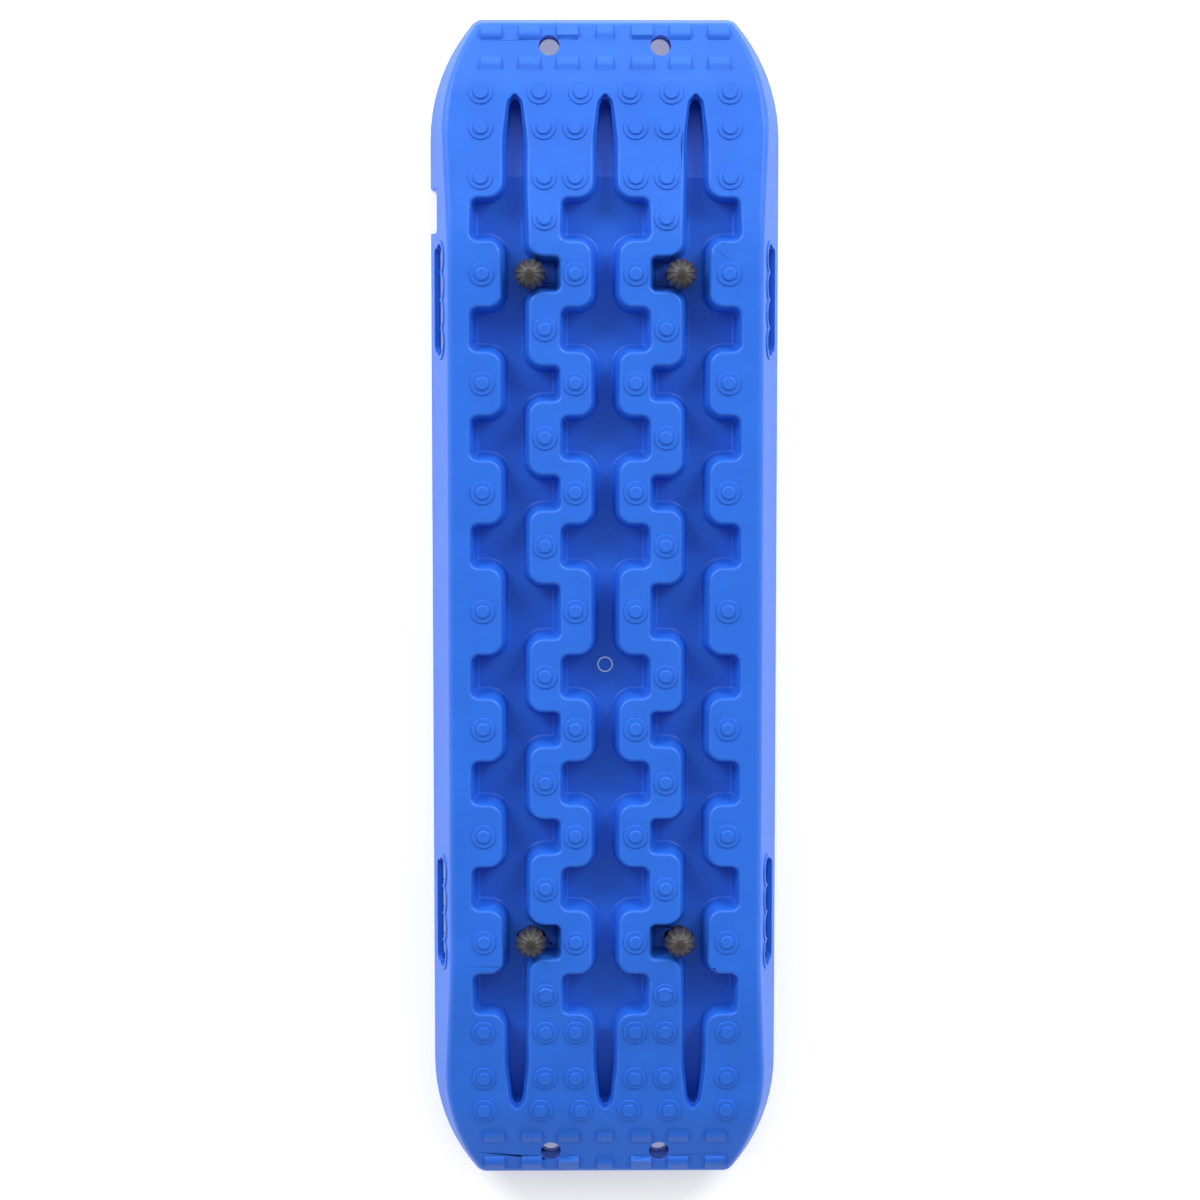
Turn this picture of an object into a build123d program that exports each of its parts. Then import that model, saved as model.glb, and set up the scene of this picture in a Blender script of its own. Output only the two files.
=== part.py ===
from build123d import *
from math import atan2, cos, degrees, radians, sin, sqrt, tan
import os

os.makedirs("parts", exist_ok=True)

# A nested pair of moulded traction boards, clamped together by four mounting pins with fluted knobs.
# X runs across the boards, Y along them, Z up. The origin is the bottom centre, where the lower board
# rests. All sizes are in millimetres.

# Board outline and section
BOARD_LENGTH = 1060.0
BOARD_WIDTH = 315.0
CORNER_RUN = 108.0  # length of each curved corner, measured along the board
CORNER_RADIUS = 160.0  # radius of that curve, seen from above
END_ROUNDING = 12.0  # radius where the curve meets the end edge
BOARD_HEIGHT = 65.0  # to the flat top
WALL = 3.5
SIDE_DRAFT = 15.0  # degrees from the vertical, all round the rim
SHOULDER = 7.0  # radius between the rim wall and the top
NEST_PITCH = 30.0  # height of the upper board above the lower one

# Side view: the flat top falls in two slopes to each end
RAMP_START = 330.0
TIP_START = 470.0
TIP_START_HEIGHT = 39.0
END_HEIGHT = 15.0
RAMP_BLEND = 220.0
TIP_BLEND = 120.0

# Channels: three grooves with notches to either side, sized at the height of the flat top
CHANNEL_DEPTH = 31.0
CHANNEL_DRAFT = 10.0
CHANNEL_X = 80.7  # centre line of each outer channel
CHANNEL_HALF = 12.7  # half the width of a channel between notches
NOTCH_REACH = 28.0  # how far a notch goes out from a channel's edge
EDGE_NOTCH = 40.0  # length of a notch beside the middle channel and the outer lands
POCKET = 32.0  # length of a pocket on the inner side of an outer channel
MIDDLE_POCKET = 50.0
NOTCH_ROWS = (58.8, 155.5, 252.0, 350.0)
POCKET_ROWS = (106.5, 204.0, 301.0)
NOTCH_CORNER = 8.0
POCKET_CORNER = 6.0
RIB_CORNER = 12.0
RIB_END_CLEARANCE = 5.0  # past the last notch, the channel's edge has no rounded rib corner
CHANNEL_TIP = 469.4
TIP_SHAPE = (  # bulge beyond the parallel part's edge, place along the board, and blend radius there
    (0.0, 384.0, 60.0),
    (1.7, 420.0, 200.0),
    (-1.7, 456.0, 12.0),
)
TIP_RADIUS = 7.0

# Beyond its parallel part a channel's floor falls towards the tip, in a slightly narrower trough
FALL_START = 388.0
FLOOR_FALL = 22.0
TROUGH_DRAFT = 5.0
TROUGH_HALF = 7.0
TROUGH_TIP = 463.0
TROUGH_SHAPE = ((0.0, 384.0, 60.0), (1.4, 420.0, 200.0), (-1.4, 451.0, 12.0))
TROUGH_RADIUS = 4.0
TROUGH_OVERLAP = 2.0  # height over which it runs up into the channel
TROUGH_DEPTH = 26.0

# Studs on the top: a low disc with a domed boss
RIB_STUD_X = 54.2
MIDDLE_STUD_X = 27.0
LAND_STUD_X = 110.0
END_STUDS = (  # place along the board, and places across it
    (386.0, (27.0, 54.5, 111.0)),
    (430.5, (27.0, 55.0, 111.0)),
    (462.0, (22.0, 59.0, 111.0)),
)
STUD_DISC = 10.5
STUD_BOSS = 6.0
STUD_RISE = 1.3
BOSS_RISE = 3.2
STUD_SINK = 6.0

# Cleats across the ends
CLEAT_X = (0.0, 33.5, 67.5, 102.0)
CLEAT_ROWS = (491.0, 519.0)
CLEAT_WIDTH = 18.5
MIDDLE_CLEAT = 14.0
CLEAT_RUN = 9.0
CLEAT_RISE = 4.0
CLEAT_TOE = 0.5  # height of the low edge
CLEAT_LEAN = 6.0  # run of the steep face, down to its sunken foot
CLEAT_SINK = 1.5

# Holes for tethers and stakes near each end
END_HOLE_X = 50.0
END_HOLE_Y = 505.0
END_HOLE_RADIUS = 9.25
END_BOSS_RADIUS = 13.0
END_BOSS_BOTTOM = 10.0

# Carrying slots in the side walls
SLOT_Y = 278.0
SLOT_LENGTH = 93.0
SLOT_LOW = 18.0
LOBE_HEIGHT = 35.5
LOBE_RADIUS = 12.5
LOBE_PITCH = 25.0
LOBE_COUNT = 4
SLOT_ROUNDING = 6.0
SLOT_RIM = 3.5
SLOT_RIM_RISE = 1.2

# Notch in the bottom edge of the left side wall
EDGE_GAP_Y = 358.0
EDGE_GAP_LENGTH = 40.0
EDGE_GAP_HEIGHT = 21.0
EDGE_GAP_ROUNDING = 7.0
EDGE_GAP_DEPTH = 15.0

# Stiffening ribs under the top, between the channels
RIB_BOTTOM = 50.0
RIB_THICKNESS = 3.0

# Ring left by the moulding gate, on the floor of the middle channel
GATE_Y = -51.0
GATE_RADIUS = 7.2
GATE_WIDTH = 1.4
GATE_RISE = 0.8
GATE_SINK = 0.5

# Mounting pins: M10 stud, screwed into a foot below the lower board
PIN_X = 67.5
PIN_Y = 301.0
THREAD_RADIUS = 5.0
THREAD_PITCH = 1.5
RUNNING = 0.05  # radial clearance of the stud in the knob's insert
LOOSE = 0.3  # radial clearance of the stud in washers and sleeves
PIN_SLOT_LENGTH = 26.0
PIN_SLOT_WIDTH = 11.0
FOOT_BOTTOM = 12.5
NUT_HEIGHT = 6.0
SEAL_HEIGHT = 2.0
WASHER_HEIGHT = 1.5
WASHER_RADIUS = 10.0
KNOB_LIFT = 10 * THREAD_PITCH  # ten turns take the knob off the stud
KNOB_HEIGHT = 40.5
KNOB_RADIUS = 14.0
GRIP_TAPER = 8.5  # degrees; the grip narrows downwards, as the pocket round it does
FLUTES = 12
FLUTE_RADIUS = 2.0
FLUTE_OFFSET = 0.6  # how far a flute's centre line lies outside the grip
FLUTE_SWEEP = 16.6  # radius of its path over the dome
FLUTE_ARC = 64.0  # degrees
INSERT_RADIUS = 7.5
INSERT_LENGTH = 21.0
FLANGE_RADIUS = 18.0
FLANGE_HEIGHT = 4.0
HUB_RADIUS = 10.0
FOOT_THREAD_RADIUS = 3.4  # tapping hole of an M8 thread
FOOT_THREAD_DEPTH = 9.0
STUD_SEAT = 7.0
STUD_CHAMFER = 1.0
NUT_ACROSS_FLATS = 16.0
SLEEVE_RADIUS = 10.0

# Sizes that follow
FLOOR = BOARD_HEIGHT - CHANNEL_DEPTH
RAMP_SLOPE = (BOARD_HEIGHT - TIP_START_HEIGHT) / (TIP_START - RAMP_START)
TIP_SLOPE = (TIP_START_HEIGHT - END_HEIGHT) / (BOARD_LENGTH / 2 - TIP_START)
WALL_GROWTH = WALL / cos(radians(CHANNEL_DRAFT))  # wall thickness measured level, across a drafted wall
LAST_RIB_Y = NOTCH_ROWS[-1] + EDGE_NOTCH / 2 + RIB_END_CLEARANCE
HALF_WIDTH = BOARD_WIDTH / 2
HALF_LENGTH = BOARD_LENGTH / 2
MARGIN = 20.0  # how far the shapes that trim the board reach past it
UPRIGHT = (Align.CENTER, Align.CENTER, Align.MIN)  # standing on the place it is put
HANGING = (Align.CENTER, Align.CENTER, Align.MAX)  # hanging from it


def top_height(y):
    """Height of the board's top at a place along it, without the blends between the slopes."""
    distance = abs(y)
    if distance > TIP_START:
        return TIP_START_HEIGHT - (distance - TIP_START) * TIP_SLOPE
    if distance > RAMP_START:
        return BOARD_HEIGHT - (distance - RAMP_START) * RAMP_SLOPE
    return BOARD_HEIGHT


def hull(inset, shoulder):
    """The board as a solid block, or the block inside its walls when inset is their thickness."""
    half_width = HALF_WIDTH - inset / cos(radians(SIDE_DRAFT))
    half_length = HALF_LENGTH - inset / cos(radians(SIDE_DRAFT))
    straight = HALF_LENGTH - CORNER_RUN
    curve = CORNER_RADIUS - inset
    end_x = half_width - curve + sqrt(curve**2 - (half_length - straight) ** 2)
    far = HALF_LENGTH + MARGIN
    with BuildPart() as block:
        with BuildSketch():
            with BuildLine():
                Line((half_width, 0), (half_width, straight))
                RadiusArc((half_width, straight), (end_x, half_length), -curve)
                Line((end_x, half_length), (0, half_length))
                mirror(about=Plane.YZ)
                mirror(about=Plane.XZ)
            make_face()
            ends = vertices().filter_by(lambda v: abs(v.Y) > half_length - 1 and abs(v.X) > 1)
            fillet(ends, END_ROUNDING - inset)
        extrude(amount=BOARD_HEIGHT + MARGIN, taper=SIDE_DRAFT)
        with BuildSketch(Plane.YZ):
            with BuildLine():
                FilletPolyline(
                    (-far, top_height(far) - inset),
                    (-TIP_START, TIP_START_HEIGHT - inset),
                    (-RAMP_START, BOARD_HEIGHT - inset),
                    (RAMP_START, BOARD_HEIGHT - inset),
                    (TIP_START, TIP_START_HEIGHT - inset),
                    (far, top_height(far) - inset),
                    radius=[TIP_BLEND, RAMP_BLEND, RAMP_BLEND, TIP_BLEND],
                )
                Polyline(
                    (far, top_height(far) - inset),
                    (far, -MARGIN),
                    (-far, -MARGIN),
                    (-far, top_height(far) - inset),
                )
            make_face()
        extrude(amount=BOARD_WIDTH, both=True, mode=Mode.INTERSECT)
        tops = block.faces().filter_by(lambda f: f.normal_at().Z > 0.6)
        rim = [e for e in block.edges() if sum(e in f.edges() for f in tops) == 1]
        fillet(rim, shoulder)
    return block.part


def pointed_strip(half, tip, shape, tip_radius):
    """A long strip along Y, parallel in the middle, bulging slightly and then pointed at both ends."""
    points = [(half + bulge, y) for bulge, y, _ in shape]
    with BuildSketch() as strip:
        with BuildLine():
            Polyline((half, 0), *points, (0, tip))
            mirror(about=Plane.YZ)
            mirror(about=Plane.XZ)
        make_face()
        for _, y, radius in shape:
            fillet(vertices().filter_by(lambda v: abs(abs(v.Y) - y) < 0.05), radius)
        fillet(vertices().filter_by(lambda v: abs(v.X) < 0.05), tip_radius)
    return strip.sketch


def channel(left, right, growth=0.0):
    """The space of one channel about X = 0; growth makes it the outside of the channel's walls.

    left and right are the notches on each side: their (place, length) list and their corner radius.
    """
    half = CHANNEL_HALF + growth
    reach = half + NOTCH_REACH
    with BuildPart() as space:
        with BuildSketch(Plane.XY.offset(-BOARD_HEIGHT)):
            add(pointed_strip(half, CHANNEL_TIP + growth, TIP_SHAPE, TIP_RADIUS))
            for side, (notches, _) in ((-1, left), (1, right)):
                for y, length in notches:
                    with Locations((side * reach / 2, y)):
                        Rectangle(reach, length + 2 * growth)
            ribs = vertices().filter_by(lambda v: abs(abs(v.X) - half) < 0.1 and abs(v.Y) < LAST_RIB_Y)
            fillet(ribs, RIB_CORNER - growth)
            for side, (_, corner) in ((-1, left), (1, right)):
                fillet(vertices().filter_by(lambda v: side * v.X > reach - 0.1), corner + growth)
        extrude(amount=CHANNEL_DEPTH + growth, taper=CHANNEL_DRAFT)
    return space.part.mirror(Plane.XY)


def trough(growth=0.0):
    """The falling end parts of one channel's floor, at both ends of the board."""
    top = FLOOR + TROUGH_OVERLAP
    fall = FLOOR_FALL / (CHANNEL_TIP - FALL_START)
    floor_z = FLOOR - growth
    with BuildPart() as space:
        with BuildSketch(Plane.XY.offset(-top)):
            add(pointed_strip(TROUGH_HALF + growth, TROUGH_TIP + growth, TROUGH_SHAPE, TROUGH_RADIUS))
        extrude(amount=TROUGH_DEPTH + growth, taper=TROUGH_DRAFT)
        mirror(about=Plane.XY, mode=Mode.REPLACE)
        with BuildSketch(Plane.YZ):
            with BuildLine():
                Polyline(
                    (FALL_START, top + 1),
                    (FALL_START, floor_z),
                    (HALF_LENGTH, floor_z - fall * (HALF_LENGTH - FALL_START)),
                    (HALF_LENGTH, top + 1),
                    close=True,
                )
            make_face()
            mirror(about=Plane.YZ)
        extrude(amount=HALF_WIDTH, both=True, mode=Mode.INTERSECT)
    return space.part


def side_plane(side, y):
    """Plane of a side wall's outer face, with its X along the board and its Y up the wall."""
    normal = (side * cos(radians(SIDE_DRAFT)), 0, sin(radians(SIDE_DRAFT)))
    return Plane(origin=(side * HALF_WIDTH, y, 0), x_dir=(0, side, 0), z_dir=normal)


def slot_outline(margin):
    """Carrying slot: a straight lower edge and finger lobes along the upper one."""
    up = 1 / cos(radians(SIDE_DRAFT))
    low = SLOT_LOW * up - margin
    lobe = LOBE_HEIGHT * up
    with BuildSketch() as outline:
        with Locations((0, (low + lobe) / 2)):
            Rectangle(SLOT_LENGTH + 2 * margin, lobe - low)
        fillet(outline.vertices().group_by(Axis.Y)[0], SLOT_ROUNDING + margin)
        with Locations((0, lobe)):
            with GridLocations(LOBE_PITCH, 0, LOBE_COUNT, 1):
                Circle(LOBE_RADIUS + margin)
    return outline.sketch


def stud_places():
    """The middle of each stud on one board, on the top and square to it."""
    places = []
    for side in (-1, 1):
        places += [(side * RIB_STUD_X, up * y) for y in NOTCH_ROWS for up in (-1, 1)]
        for x in (side * MIDDLE_STUD_X, side * LAND_STUD_X):
            places += [(x, up * y) for y in POCKET_ROWS for up in (-1, 1)] + [(x, 0)]
        for y, xs in END_STUDS:
            places += [(side * x, up * y) for x in xs for up in (-1, 1)]
    located = []
    for x, y in places:
        before = top_height(y - STUD_DISC)
        after = top_height(y + STUD_DISC)
        tilt = degrees(atan2(after - before, 2 * STUD_DISC))
        located.append(Location((x, y, (before + after) / 2), (tilt, 0, 0)))
    return located


def cleats():
    """All the cleats: wedges that rise towards the middle of the board and end there in a steep face."""
    wedges = []
    for row in CLEAT_ROWS:
        foot = row + CLEAT_RUN / 2
        edge = row - CLEAT_RUN / 2
        heel = edge - CLEAT_LEAN
        with BuildSketch(Plane.YZ) as profile:
            with BuildLine():
                Polyline(
                    (foot, top_height(foot) - CLEAT_SINK),
                    (foot, top_height(foot) + CLEAT_TOE),
                    (edge, top_height(edge) + CLEAT_RISE),
                    (heel, top_height(heel) - CLEAT_SINK),
                    close=True,
                )
            make_face()
            mirror(about=Plane.YZ)
        for x in sorted({side * x for x in CLEAT_X for side in (-1, 1)}):
            width = CLEAT_WIDTH if x else MIDDLE_CLEAT
            with BuildPart() as wedge:
                extrude(profile.sketch, amount=width / 2, both=True)
            wedges.append(wedge.part.moved(Location((x, 0, 0))))
    return wedges


def moulding():
    """One board, resting on z = 0."""
    notches = [(side * y, EDGE_NOTCH) for y in NOTCH_ROWS for side in (-1, 1)], NOTCH_CORNER
    pocket_rows = [(side * y, POCKET) for y in POCKET_ROWS for side in (-1, 1)]
    pockets = [(0, MIDDLE_POCKET), *pocket_rows], POCKET_CORNER
    end_holes = [(x, y) for x in (-END_HOLE_X, END_HOLE_X) for y in (-END_HOLE_Y, END_HOLE_Y)]
    slots = [(side, y) for side in (-1, 1) for y in (-SLOT_Y, SLOT_Y)]
    sides = {-CHANNEL_X: (notches, pockets), 0: (notches, notches), CHANNEL_X: (pockets, notches)}

    with BuildPart() as hollow:
        add(hull(WALL, SHOULDER - WALL))
        for x, (left, right) in sides.items():
            with Locations((x, 0, 0)):
                add(channel(left, right, WALL_GROWTH), mode=Mode.SUBTRACT)
                add(trough(WALL_GROWTH), mode=Mode.SUBTRACT)
        rib_places = [0] + [side * y for y in NOTCH_ROWS + POCKET_ROWS for side in (-1, 1)]
        with Locations(*[(0, y, RIB_BOTTOM) for y in rib_places]):
            Box(BOARD_WIDTH, RIB_THICKNESS, BOARD_HEIGHT, align=UPRIGHT, mode=Mode.SUBTRACT)
        with Locations(*[(x, y, END_BOSS_BOTTOM) for x, y in end_holes]):
            Cylinder(END_BOSS_RADIUS, BOARD_HEIGHT, align=UPRIGHT, mode=Mode.SUBTRACT)

    with BuildPart() as board:
        add(hull(0, SHOULDER))
        for x, (left, right) in sides.items():
            with Locations((x, 0, 0)):
                add(channel(left, right), mode=Mode.SUBTRACT)
                add(trough(), mode=Mode.SUBTRACT)

        # Studs, sunk into the top
        with Locations(*stud_places()):
            with Locations((0, 0, STUD_RISE)):
                Cylinder(STUD_DISC, STUD_SINK, align=HANGING)
                Cylinder(STUD_BOSS, BOSS_RISE - STUD_RISE, align=UPRIGHT)

        add(cleats())

        # Ring left by the moulding gate
        with BuildSketch(Plane.XY.offset(FLOOR - GATE_SINK)):
            with Locations((0, GATE_Y)):
                Circle(GATE_RADIUS)
                Circle(GATE_RADIUS - GATE_WIDTH, mode=Mode.SUBTRACT)
        extrude(amount=GATE_SINK + GATE_RISE)

        # Rims round the carrying slots
        for side, y in slots:
            with BuildSketch(side_plane(side, y).offset(-WALL / 2)):
                add(slot_outline(SLOT_RIM))
            extrude(amount=WALL / 2 + SLOT_RIM_RISE)

        add(hollow.part, mode=Mode.SUBTRACT)

        for side, y in slots:
            with BuildSketch(side_plane(side, y)):
                add(slot_outline(0))
            extrude(amount=3 * WALL, both=True, mode=Mode.SUBTRACT)

        with Locations(*end_holes):
            Cylinder(END_HOLE_RADIUS, 2 * BOARD_HEIGHT, mode=Mode.SUBTRACT)

        # Slots for the mounting pins, through the floors of the outer channels' pockets
        with BuildSketch(Plane.XY.offset(FLOOR + WALL)):
            with GridLocations(2 * PIN_X, 2 * PIN_Y, 2, 2):
                SlotOverall(PIN_SLOT_LENGTH, PIN_SLOT_WIDTH)
        extrude(amount=-3 * WALL, mode=Mode.SUBTRACT)

        with BuildSketch(Plane.YZ.offset(-HALF_WIDTH)) as gap:
            with Locations((EDGE_GAP_Y, 0)):
                Rectangle(EDGE_GAP_LENGTH, 2 * EDGE_GAP_HEIGHT)
            fillet(gap.vertices().group_by(Axis.Y)[-1], EDGE_GAP_ROUNDING)
        extrude(amount=EDGE_GAP_DEPTH, mode=Mode.SUBTRACT)
    return board.part


board = moulding()

with BuildPart() as lower_board:
    add(board)
lower_board.part.label = "lower_board"
export_step(lower_board.part, "parts/lower_board.step")

with BuildPart() as upper_board:
    with Locations((0, 0, NEST_PITCH)):
        add(board)
upper_board.part.label = "upper_board"
export_step(upper_board.part, "parts/upper_board.step")

# The mounting pins. Heights follow from the floors that they clamp.
LOWER_FLOOR_BOTTOM = FLOOR - WALL_GROWTH
UPPER_FLOOR_TOP = FLOOR + NEST_PITCH
UPPER_FLOOR_BOTTOM = UPPER_FLOOR_TOP - WALL_GROWTH
NUT_TOP = FLOOR + NUT_HEIGHT
WASHER_BOTTOM = UPPER_FLOOR_TOP + SEAL_HEIGHT
KNOB_BOTTOM = WASHER_BOTTOM + WASHER_HEIGHT
STUD_TOP = KNOB_BOTTOM + KNOB_LIFT
KNOB_TOP = KNOB_BOTTOM + KNOB_HEIGHT
DOME_HEIGHT = KNOB_TOP - KNOB_RADIUS
INSERT_TOP = KNOB_BOTTOM + INSERT_LENGTH
GRIP_LENGTH = DOME_HEIGHT - KNOB_BOTTOM
GRIP_LEAN = GRIP_LENGTH * tan(radians(GRIP_TAPER))


def ring(radius, bore, bottom, top):
    """A plain ring about the Z axis."""
    with BuildPart() as body:
        with BuildSketch(Plane.XY.offset(bottom)):
            Circle(radius)
            Circle(bore, mode=Mode.SUBTRACT)
        extrude(amount=top - bottom)
    return body.part


def flute_body():
    """The space of one flute: it runs up the grip and over the dome, and fades out near the top."""
    start = KNOB_RADIUS + FLUTE_OFFSET
    turn = start - FLUTE_SWEEP
    with BuildPart() as flute:
        with BuildSketch(Plane.XY.offset(DOME_HEIGHT)) as groove:
            with Locations((start, 0)):
                Circle(FLUTE_RADIUS)
        extrude(amount=GRIP_LENGTH, dir=(-sin(radians(GRIP_TAPER)), 0, -cos(radians(GRIP_TAPER))))
        axis = Axis((turn, 0, DOME_HEIGHT), (0, -1, 0))
        revolve(groove.sketch, axis=axis, revolution_arc=FLUTE_ARC)
    return flute.part


def knob_body():
    """Fluted knob: tapered grip and dome, with a blind pocket for its insert."""
    with BuildPart() as body:
        with BuildSketch(Plane.XZ):
            with BuildLine():
                Polyline(
                    (0, KNOB_BOTTOM),
                    (KNOB_RADIUS - GRIP_LEAN, KNOB_BOTTOM),
                    (KNOB_RADIUS, DOME_HEIGHT),
                )
                RadiusArc((KNOB_RADIUS, DOME_HEIGHT), (0, KNOB_TOP), -KNOB_RADIUS)
                Line((0, KNOB_TOP), (0, KNOB_BOTTOM))
            make_face()
        revolve(axis=Axis.Z)
        with PolarLocations(0, FLUTES):
            add(flute_body(), mode=Mode.SUBTRACT)
        with Locations((0, 0, KNOB_BOTTOM)):
            Cylinder(INSERT_RADIUS, INSERT_LENGTH, align=UPRIGHT, mode=Mode.SUBTRACT)
    return body.part


def foot_body():
    """Foot below the lower board: a flange, and a hub threaded from below and holding the stud above."""
    with BuildPart() as body:
        with Locations((0, 0, LOWER_FLOOR_BOTTOM)):
            Cylinder(FLANGE_RADIUS, FLANGE_HEIGHT, align=HANGING)
            Cylinder(HUB_RADIUS, LOWER_FLOOR_BOTTOM - FOOT_BOTTOM, align=HANGING)
            Cylinder(THREAD_RADIUS, STUD_SEAT, align=HANGING, mode=Mode.SUBTRACT)
        with Locations((0, 0, FOOT_BOTTOM)):
            Cylinder(FOOT_THREAD_RADIUS, FOOT_THREAD_DEPTH, align=UPRIGHT, mode=Mode.SUBTRACT)
    return body.part


def stud_body():
    """Stud from the foot up to ten turns' worth of thread above the washer."""
    with BuildPart() as body:
        with Locations((0, 0, STUD_TOP)):
            Cylinder(THREAD_RADIUS, STUD_TOP - LOWER_FLOOR_BOTTOM + STUD_SEAT, align=HANGING)
        chamfer(body.edges().group_by(Axis.Z)[-1], STUD_CHAMFER)
    return body.part


def nut_body():
    """Hex nut that clamps the lower board's floor to the foot."""
    with BuildPart() as body:
        with BuildSketch(Plane.XY.offset(FLOOR)):
            RegularPolygon(NUT_ACROSS_FLATS / 2, 6, major_radius=False)
            Circle(THREAD_RADIUS, mode=Mode.SUBTRACT)
        extrude(amount=NUT_HEIGHT)
    return body.part


pin_pieces = {
    "foot": foot_body(),
    "stud": stud_body(),
    "nut": nut_body(),
    "sleeve": ring(SLEEVE_RADIUS, THREAD_RADIUS + LOOSE, NUT_TOP, UPPER_FLOOR_BOTTOM),
    "seal": ring(WASHER_RADIUS, THREAD_RADIUS + LOOSE, UPPER_FLOOR_TOP, WASHER_BOTTOM),
    "washer": ring(WASHER_RADIUS, THREAD_RADIUS + LOOSE, WASHER_BOTTOM, KNOB_BOTTOM),
    "insert": ring(INSERT_RADIUS, THREAD_RADIUS + RUNNING, KNOB_BOTTOM, INSERT_TOP),
    "knob": knob_body(),
}
corners = {
    "front_left": (-PIN_X, -PIN_Y),
    "front_right": (PIN_X, -PIN_Y),
    "rear_left": (-PIN_X, PIN_Y),
    "rear_right": (PIN_X, PIN_Y),
}

for corner, (x, y) in corners.items():
    for piece_name, shape in pin_pieces.items():
        with BuildPart() as piece:
            with Locations((x, y, 0)):
                add(shape)
        piece.part.label = f"{piece_name}_{corner}"
        export_step(piece.part, f"parts/{piece_name}_{corner}.step")
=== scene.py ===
"""The looks of a nested pair of traction boards with four clamping knobs, in metres."""
import math

import bmesh
import bpy
from mathutils import Matrix, Vector


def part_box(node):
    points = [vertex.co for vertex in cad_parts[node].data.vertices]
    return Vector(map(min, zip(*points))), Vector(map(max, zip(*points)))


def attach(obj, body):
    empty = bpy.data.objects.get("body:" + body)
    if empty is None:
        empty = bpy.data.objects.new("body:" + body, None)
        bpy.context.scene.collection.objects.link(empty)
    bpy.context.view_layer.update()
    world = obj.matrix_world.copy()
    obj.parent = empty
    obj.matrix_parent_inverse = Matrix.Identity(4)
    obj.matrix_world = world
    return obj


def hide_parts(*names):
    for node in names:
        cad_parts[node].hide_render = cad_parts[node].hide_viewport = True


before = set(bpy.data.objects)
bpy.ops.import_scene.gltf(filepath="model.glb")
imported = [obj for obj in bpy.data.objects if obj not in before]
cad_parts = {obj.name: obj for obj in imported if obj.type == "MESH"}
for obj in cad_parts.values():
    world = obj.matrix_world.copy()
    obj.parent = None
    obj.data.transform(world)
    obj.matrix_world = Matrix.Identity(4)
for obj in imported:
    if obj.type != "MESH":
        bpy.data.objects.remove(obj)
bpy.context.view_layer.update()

CORNERS = ("front_left", "front_right", "rear_left", "rear_right")

# Sizes, in metres, and shares of them
WELD = 1e-5                 # vertices nearer to each other than this are one
CUT = 1e-6                  # and nearer to a cut than this, on it
ROUNDING = 0.0024           # radius along the upper edges of the ribs and lands
BED_SHARE = 0.9             # share of it where a channel's walls meet its floor
TIP_SHARE = 0.4             # share of it at the channels' shallow tips
BOSS_SHARE = 0.6            # share of it on the studs' bosses
HOLE_SHARE = 0.3            # share of it round the end holes
SMALL_SHARE = 0.25          # share of it on the studs, cleats and rims
ROUNDING_STEPS = 3          # faces across each rounded edge
TIP_START = 0.44            # distance along the board to the tips
BED_END = 0.36              # distance to where the channels' floors begin to fall
BOSS_HEIGHT = 0.0025        # higher than this above a flat top, only the studs' bosses stand
FLAT_TOP = 0.065            # height of a board's flat top above its foot
FOOT_HEIGHT = 0.002         # edges that reach lower than this above its foot stay sharp
HOLE_PLACE = (0.05, 0.505)  # of the end holes, across and along the board
HOLE_REACH = 0.0098         # from their middles to just past their edges
SIDE_WALL = 0.14            # distance across the board to the rims of the carrying slots
GATE_Y = -0.051             # place along the board of the ring left by the mould's gate
GATE_RADIUS = 0.0065
GATE_REACH = 0.0007         # half the width of the pale ring

# Places along the board where its mesh is cut into strips, which keeps each flat face simple
STRIP_ROWS = (0.0, 0.051, 0.0588, 0.1065, 0.1555, 0.204, 0.252, 0.301, 0.35, 0.386, 0.4305, 0.462, 0.491,
              0.505, 0.519)

# Angles, in degrees
FLAT = 2.0                  # faces that turn less than this are one face
SMOOTH = 22                 # faces that turn less than this are one surface
SHARP = 38                  # edges that turn more than this are rounded
HARD = 32                   # once rounded, edges that turn more than this shade hard

# How far a face points upwards, from -1 to 1
LEVEL = 0.9                 # more than this on tops and floors
STEEP = 0.5                 # less than this on walls
UPRIGHT = 0.15              # less than this on the bosses' walls
OVERHANG = -0.35            # more than this on the studs' and cleats' walls
DRAFT = 0.05                # more than this on the channels' walls

# The least cosine between a triangle and its face: below this the triangle is folded over
FOLD_LIMIT = 0.3


# Boards

def turn_of(edge):
    """How far an edge turns, in degrees."""
    return math.degrees(edge.calc_face_angle(0.0))


def patch_from(seed):
    """All the faces joined to the seed without a sharp edge between them."""
    found = {seed}
    waiting = [seed]
    while waiting:
        for edge in waiting.pop().edges:
            if turn_of(edge) > SMOOTH:
                continue
            for face in edge.link_faces:
                if face not in found:
                    found.add(face)
                    waiting.append(face)
    return found


def simple_mesh(node):
    """A CAD node's mesh, welded, with each flat part of each strip as one face."""
    mesh = bmesh.new()
    mesh.from_mesh(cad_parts[node].data)
    bmesh.ops.remove_doubles(mesh, verts=mesh.verts, dist=WELD)
    for row in sorted({side * row for row in STRIP_ROWS for side in (-1, 1)}):
        everything = mesh.verts[:] + mesh.edges[:] + mesh.faces[:]
        cut = bmesh.ops.bisect_plane(mesh, geom=everything, plane_co=(0, row, 0), plane_no=(0, 1, 0),
                                     dist=CUT)
        for edge in cut["geom_cut"]:
            if isinstance(edge, bmesh.types.BMEdge):
                edge.seam = True
    bmesh.ops.dissolve_limit(mesh, angle_limit=math.radians(FLAT), verts=mesh.verts, edges=mesh.edges,
                             delimit={"SEAM"})
    return mesh


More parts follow.
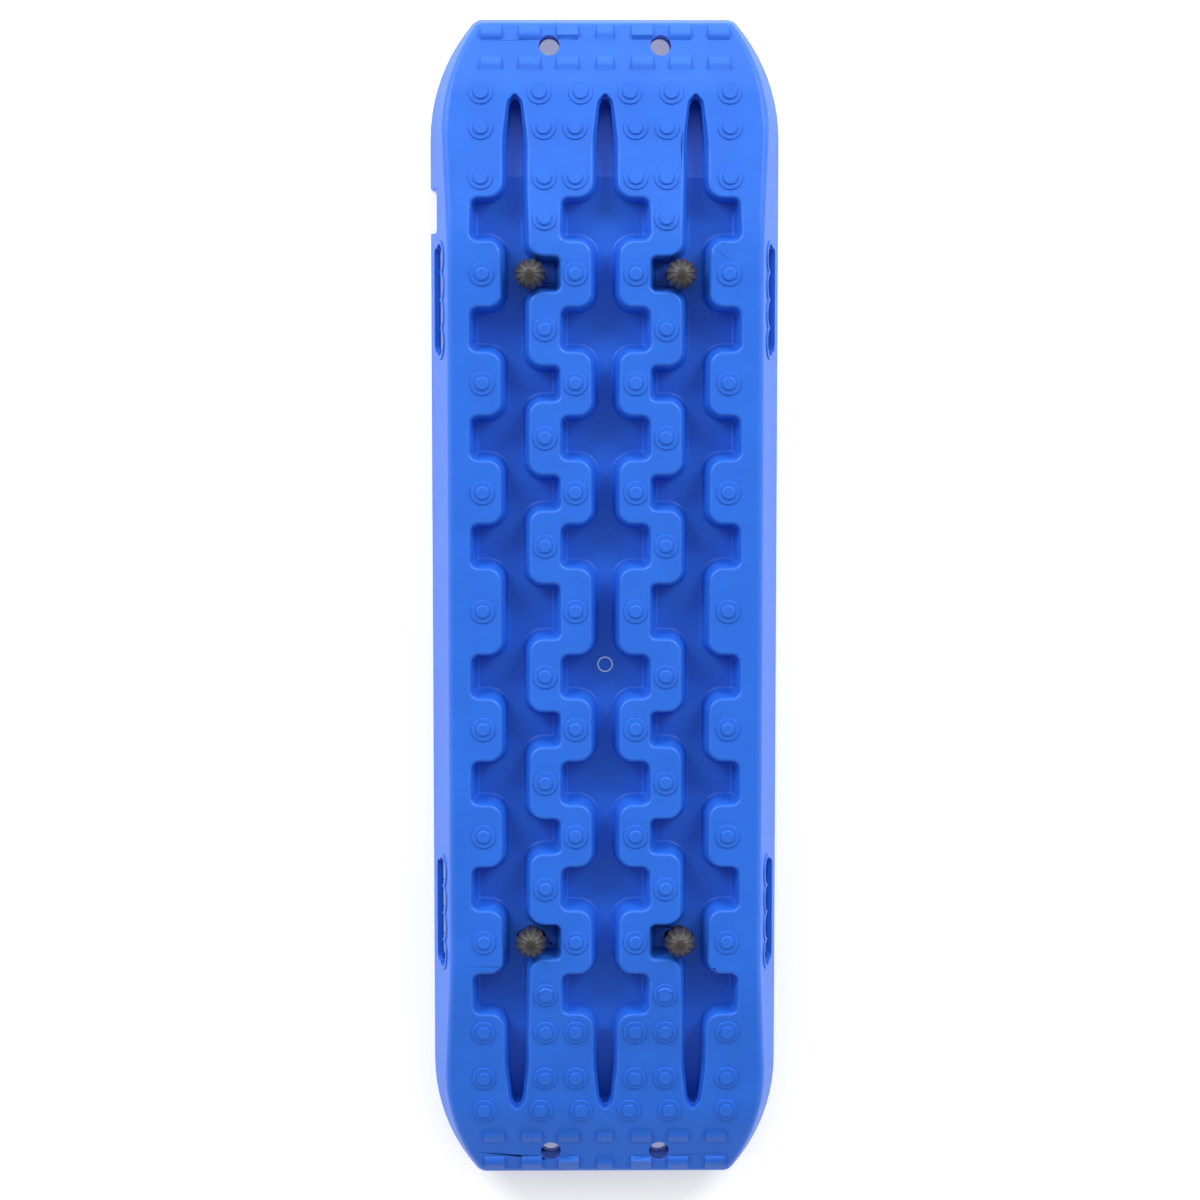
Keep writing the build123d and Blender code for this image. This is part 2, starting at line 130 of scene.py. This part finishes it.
def rounding_share(edge, skin, low):
    """How much of the full rounding an edge of a board has."""
    if turn_of(edge) < SHARP or min(vert.co.z for vert in edge.verts) < low + FOOT_HEIGHT:
        return 0
    wall, top = sorted(face.normal.z for face in edge.link_faces)
    middle = (edge.verts[0].co + edge.verts[1].co) / 2
    x, y = abs(middle.x), abs(middle.y)
    outer = [face in skin for face in edge.link_faces]
    if edge.is_convex and any(outer) and not all(outer) and wall < STEEP:
        if math.dist((x, y), HOLE_PLACE) < HOLE_REACH:
            return HOLE_SHARE
        return 1 if y < TIP_START else TIP_SHARE
    if edge.is_convex and top > LEVEL and wall < UPRIGHT and middle.z - low > FLAT_TOP + BOSS_HEIGHT:
        return BOSS_SHARE
    if edge.is_convex and ((top > LEVEL and OVERHANG < wall < STEEP) or x > SIDE_WALL):
        return SMALL_SHARE
    if not any(outer) and top > LEVEL and DRAFT < wall < STEEP and y < BED_END:
        return BED_SHARE
    return 0


def folded(shape):
    """The faces that the rounding has folded over somewhere, which can't be shaded smooth."""
    shape.calc_loop_triangles()
    found = {triangle.polygon_index for triangle in shape.loop_triangles
             if triangle.normal.dot(shape.polygons[triangle.polygon_index].normal) < FOLD_LIMIT}
    return [shape.polygons[index] for index in found]


def board_mesh(node):
    """The board's own shape with the mould's rounded edges."""
    mesh = simple_mesh(node)
    share = mesh.edges.layers.float.new("bevel_weight_edge")
    low = min(vert.co.z for vert in mesh.verts)
    upward = [face for face in mesh.faces if face.normal.z > LEVEL]
    skin = patch_from(max(upward, key=lambda face: face.calc_area()))
    for edge in mesh.edges:
        edge[share] = rounding_share(edge, skin, low)
    sharp = bpy.data.meshes.new("sharp_board")
    mesh.to_mesh(sharp)
    mesh.free()
    blank = bpy.data.objects.new("blank_board", sharp)
    bpy.context.collection.objects.link(blank)
    bevel = blank.modifiers.new("rounding", "BEVEL")
    bevel.limit_method = "WEIGHT"
    bevel.width = ROUNDING
    bevel.segments = ROUNDING_STEPS
    bevel.use_clamp_overlap = False
    shape = bpy.data.meshes.new_from_object(blank.evaluated_get(bpy.context.evaluated_depsgraph_get()))
    shape.name = "board_moulding"
    bpy.data.objects.remove(blank)
    for polygon in shape.polygons:
        polygon.use_smooth = True
    shape.set_sharp_from_angle(angle=math.radians(HARD))
    for polygon in folded(shape):
        polygon.use_smooth = False
    return shape


def weigh_normals(piece):
    """Large flat faces stay flat, and the roundings between them shade smoothly."""
    weigh = piece.modifiers.new("weigh_normals", "WEIGHTED_NORMAL")
    weigh.keep_sharp = True


# Materials

NOISE_LOW = 0.3             # most of a noise lies between these
NOISE_HIGH = 0.7
# pale tone painted along the small ring round the mould's gate
GATE_TONE = (0.62, 0.74, 0.9)
BOARD_SPECULAR = 0.38
POLISH_SPREAD = 0.06        # how far a metal's roughness strays


def new_material(name, colour, roughness, metallic=0.0):
    """A plain material, with its node tree and its shader."""
    material = bpy.data.materials.new(name)
    material.use_nodes = True
    shader = material.node_tree.nodes["Principled BSDF"]
    shader.inputs["Base Color"].default_value = (*colour, 1)
    shader.inputs["Roughness"].default_value = roughness
    shader.inputs["Metallic"].default_value = metallic
    return material, material.node_tree, shader


def noise(tree, scale, detail=2.0):
    """A noise fixed to the object, with about this many bumps a metre."""
    where = tree.nodes.new("ShaderNodeTexCoord")
    node = tree.nodes.new("ShaderNodeTexNoise")
    node.inputs["Scale"].default_value = scale
    node.inputs["Detail"].default_value = detail
    tree.links.new(where.outputs["Object"], node.inputs["Vector"])
    return node.outputs["Fac"]


def spread(tree, value, low, high):
    """The middle of a noise, spread from low to high."""
    node = tree.nodes.new("ShaderNodeMapRange")
    node.inputs["From Min"].default_value = NOISE_LOW
    node.inputs["From Max"].default_value = NOISE_HIGH
    node.inputs["To Min"].default_value = low
    node.inputs["To Max"].default_value = high
    tree.links.new(value, node.inputs["Value"])
    return node.outputs["Result"]


def mottle(tree, shader, first, second, scale):
    """The colour drifts between two close tones."""
    node = tree.nodes.new("ShaderNodeMix")
    node.data_type = "RGBA"
    node.inputs["A"].default_value = (*first, 1)
    node.inputs["B"].default_value = (*second, 1)
    tree.links.new(spread(tree, noise(tree, scale), 0, 1), node.inputs["Factor"])
    tree.links.new(node.outputs["Result"], shader.inputs["Base Color"])
    return node.outputs["Result"]


def grain(tree, shader, scale, depth):
    """The fine texture that the mould leaves."""
    bump = tree.nodes.new("ShaderNodeBump")
    bump.inputs["Distance"].default_value = depth
    tree.links.new(noise(tree, scale, 3.0), bump.inputs["Height"])
    tree.links.new(bump.outputs["Normal"], shader.inputs["Normal"])


def pale_gate_ring(tree, shader, colour):
    """The plastic is painted pale along the small ring on the middle floor, round the mould's gate."""
    where = tree.nodes.new("ShaderNodeTexCoord")
    flat = tree.nodes.new("ShaderNodeVectorMath")
    flat.operation = "MULTIPLY"
    flat.inputs[1].default_value = (1, 1, 0)
    tree.links.new(where.outputs["Object"], flat.inputs[0])
    away = tree.nodes.new("ShaderNodeVectorMath")
    away.operation = "DISTANCE"
    away.inputs[1].default_value = (0, GATE_Y, 0)
    tree.links.new(flat.outputs["Vector"], away.inputs[0])
    ring = tree.nodes.new("ShaderNodeMath")
    ring.operation = "COMPARE"
    ring.inputs[1].default_value = GATE_RADIUS
    ring.inputs[2].default_value = GATE_REACH
    tree.links.new(away.outputs["Value"], ring.inputs[0])
    node = tree.nodes.new("ShaderNodeMix")
    node.data_type = "RGBA"
    node.inputs["B"].default_value = (*GATE_TONE, 1)
    tree.links.new(ring.outputs["Value"], node.inputs["Factor"])
    tree.links.new(colour, node.inputs["A"])
    tree.links.new(node.outputs["Result"], shader.inputs["Base Color"])


def board_plastic():
    """Blue moulded nylon with a fine grain."""
    material, tree, shader = new_material("board_plastic", (0.017, 0.142, 0.70), 0.42)
    colour = mottle(tree, shader, (0.018, 0.132, 0.64), (0.020, 0.146, 0.70), 22)
    pale_gate_ring(tree, shader, colour)
    shader.inputs["Specular IOR Level"].default_value = BOARD_SPECULAR
    tree.links.new(spread(tree, noise(tree, 900), 0.36, 0.48), shader.inputs["Roughness"])
    grain(tree, shader, 1600, 0.00004)
    return material


def knob_plastic():
    """Dark brown-grey moulded nylon."""
    material, tree, shader = new_material("knob_plastic", (0.04, 0.034, 0.032), 0.36)
    mottle(tree, shader, (0.033, 0.028, 0.026), (0.047, 0.040, 0.038), 60)
    grain(tree, shader, 1800, 0.00004)
    return material


def metal(name, colour, roughness):
    """Bare or plated metal with a slightly uneven polish."""
    material, tree, shader = new_material(name, colour, roughness, 1.0)
    mottle(tree, shader, [0.92 * value for value in colour], colour, 150)
    polish = spread(tree, noise(tree, 700), roughness - POLISH_SPREAD, roughness + POLISH_SPREAD)
    tree.links.new(polish, shader.inputs["Roughness"])
    grain(tree, shader, 2500, 0.00002)
    return material


def soft(name, colour, roughness):
    """Rubber or plain plastic."""
    material, tree, shader = new_material(name, colour, roughness)
    mottle(tree, shader, [0.8 * value for value in colour], colour, 90)
    grain(tree, shader, 2000, 0.00005)
    return material


# The object

blue = board_plastic()
brown = knob_plastic()
zinc = metal("zinc_plate", (0.62, 0.62, 0.63), 0.32)
brass = metal("machined_brass", (0.75, 0.58, 0.28), 0.28)
rubber = soft("seal_rubber", (0.030, 0.030, 0.030), 0.7)
nylon = soft("sleeve_nylon", (0.050, 0.050, 0.055), 0.5)
FINISH = {"foot": zinc, "stud": zinc, "nut": zinc, "washer": zinc, "insert": brass, "seal": rubber,
          "sleeve": nylon, "knob": brown}

for corner in CORNERS:
    for part, material in FINISH.items():
        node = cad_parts[f"{part}_{corner}"]
        node.data.materials.clear()
        node.data.materials.append(material)

shape = board_mesh("lower_board")
shape.materials.append(blue)
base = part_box("lower_board")[0][2]
for name in ("lower_board", "upper_board"):
    board = bpy.data.objects.new(f"{name}_moulding", shape)
    bpy.context.collection.objects.link(board)
    board.location.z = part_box(name)[0][2] - base
    weigh_normals(board)
    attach(board, "root")
    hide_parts(name)


# Floor, light and camera

FLOOR_HALF = 6
FLOOR_DROP = 0.0005         # gap below the boards' feet
FLOOR_GLOW = 0.3
SKY_SIDES = 1.2             # how bright the tent is to the sides
SKY_TOP = 0.26              # and overhead
SKY_LEAN = 0.25             # how far its dim part is off to the front
SKY_FALL = (0.5, 0.95)      # heights between which it dims
SKY_FRONT = 0.75            # how bright it is to the front, as a share
SKY_REAR = 1.25             # and to the rear
KEY_PLACE = (2.2, 2.3, 2.0)  # to a side, to the rear and up
KEY_SIZE = (1.6, 1.2)
KEY_POWER = 60
CAMERA_DISTANCE = 2.8
CAMERA_TILT = math.radians(5.2)
CAMERA_ASIDE = -0.012       # how far it stands to the right, as a share of its distance
FRAME_WIDTH = 1.101         # how much the picture takes in at the point it is aimed at
AIM = Vector((-0.0042, 0.0045, 0.03))


def floor():
    """A white paper floor, slightly glowing as if lit through."""
    shape = bpy.data.meshes.new("floor")
    corners = [(x * FLOOR_HALF, y * FLOOR_HALF, 0) for x, y in ((-1, -1), (1, -1), (1, 1), (-1, 1))]
    shape.from_pydata(corners, [], [(0, 1, 2, 3)])
    piece = bpy.data.objects.new("floor", shape)
    bpy.context.collection.objects.link(piece)
    piece.location.z = -FLOOR_DROP
    material, tree, shader = new_material("floor_paper", (0.95, 0.95, 0.95), 0.9)
    mottle(tree, shader, (0.94, 0.94, 0.94), (0.96, 0.96, 0.96), 3)
    shader.inputs["Emission Color"].default_value = (1, 1, 1, 1)
    shader.inputs["Emission Strength"].default_value = FLOOR_GLOW
    shape.materials.append(material)


def key_light(name, side):
    """A large soft box to the rear of the boards, on one side, turned to their middle."""
    data = bpy.data.lights.new(name, "AREA")
    data.shape = "RECTANGLE"
    data.size, data.size_y = KEY_SIZE
    data.energy = KEY_POWER
    light = bpy.data.objects.new(name, data)
    light.location = (side * KEY_PLACE[0], *KEY_PLACE[1:])
    light.rotation_euler = (-light.location).to_track_quat("-Z", "Y").to_euler()
    bpy.context.collection.objects.link(light)


def sky():
    """A white tent: bright to the sides and most of all to the rear, dim overhead."""
    world = bpy.data.worlds.new("tent")
    world.use_nodes = True
    tree = world.node_tree
    where = tree.nodes.new("ShaderNodeTexCoord")
    axes = tree.nodes.new("ShaderNodeSeparateXYZ")
    tree.links.new(where.outputs["Generated"], axes.inputs["Vector"])
    lean = tree.nodes.new("ShaderNodeMath")
    lean.operation = "MULTIPLY_ADD"
    lean.inputs[1].default_value = -SKY_LEAN
    tree.links.new(axes.outputs["Y"], lean.inputs[0])
    tree.links.new(axes.outputs["Z"], lean.inputs[2])
    height = tree.nodes.new("ShaderNodeMapRange")
    height.interpolation_type = "SMOOTHSTEP"
    height.inputs["From Min"].default_value = SKY_FALL[0]
    height.inputs["From Max"].default_value = SKY_FALL[1]
    height.inputs["To Min"].default_value = SKY_SIDES
    height.inputs["To Max"].default_value = SKY_TOP
    tree.links.new(lean.outputs["Value"], height.inputs["Value"])
    rear = tree.nodes.new("ShaderNodeMapRange")
    rear.inputs["From Min"].default_value = -1
    rear.inputs["From Max"].default_value = 1
    rear.inputs["To Min"].default_value = SKY_FRONT
    rear.inputs["To Max"].default_value = SKY_REAR
    tree.links.new(axes.outputs["Y"], rear.inputs["Value"])
    both = tree.nodes.new("ShaderNodeMath")
    both.operation = "MULTIPLY"
    tree.links.new(height.outputs["Result"], both.inputs[0])
    tree.links.new(rear.outputs["Result"], both.inputs[1])
    tree.links.new(both.outputs["Value"], tree.nodes["Background"].inputs["Strength"])
    tree.nodes["Background"].inputs["Color"].default_value = (1, 1, 1, 1)
    bpy.context.scene.world = world


def overhead_camera():
    """A camera almost straight above, with the boards' rear end at the top of its picture."""
    data = bpy.data.cameras.new("camera")
    data.lens = data.sensor_width * CAMERA_DISTANCE / FRAME_WIDTH
    camera = bpy.data.objects.new("camera", data)
    away = Vector((CAMERA_ASIDE, math.sin(CAMERA_TILT), math.cos(CAMERA_TILT)))
    camera.location = AIM + CAMERA_DISTANCE * away
    ahead = (AIM - camera.location).normalized()
    right = ahead.cross(Vector((0, 1, 0))).normalized()
    camera.rotation_euler = Matrix((right, right.cross(ahead), -ahead)).transposed().to_euler()
    bpy.context.collection.objects.link(camera)
    bpy.context.scene.camera = camera


floor()
sky()
key_light("key_left", -1)
key_light("key_right", 1)
overhead_camera()
bpy.context.scene.view_settings.view_transform = "Standard"
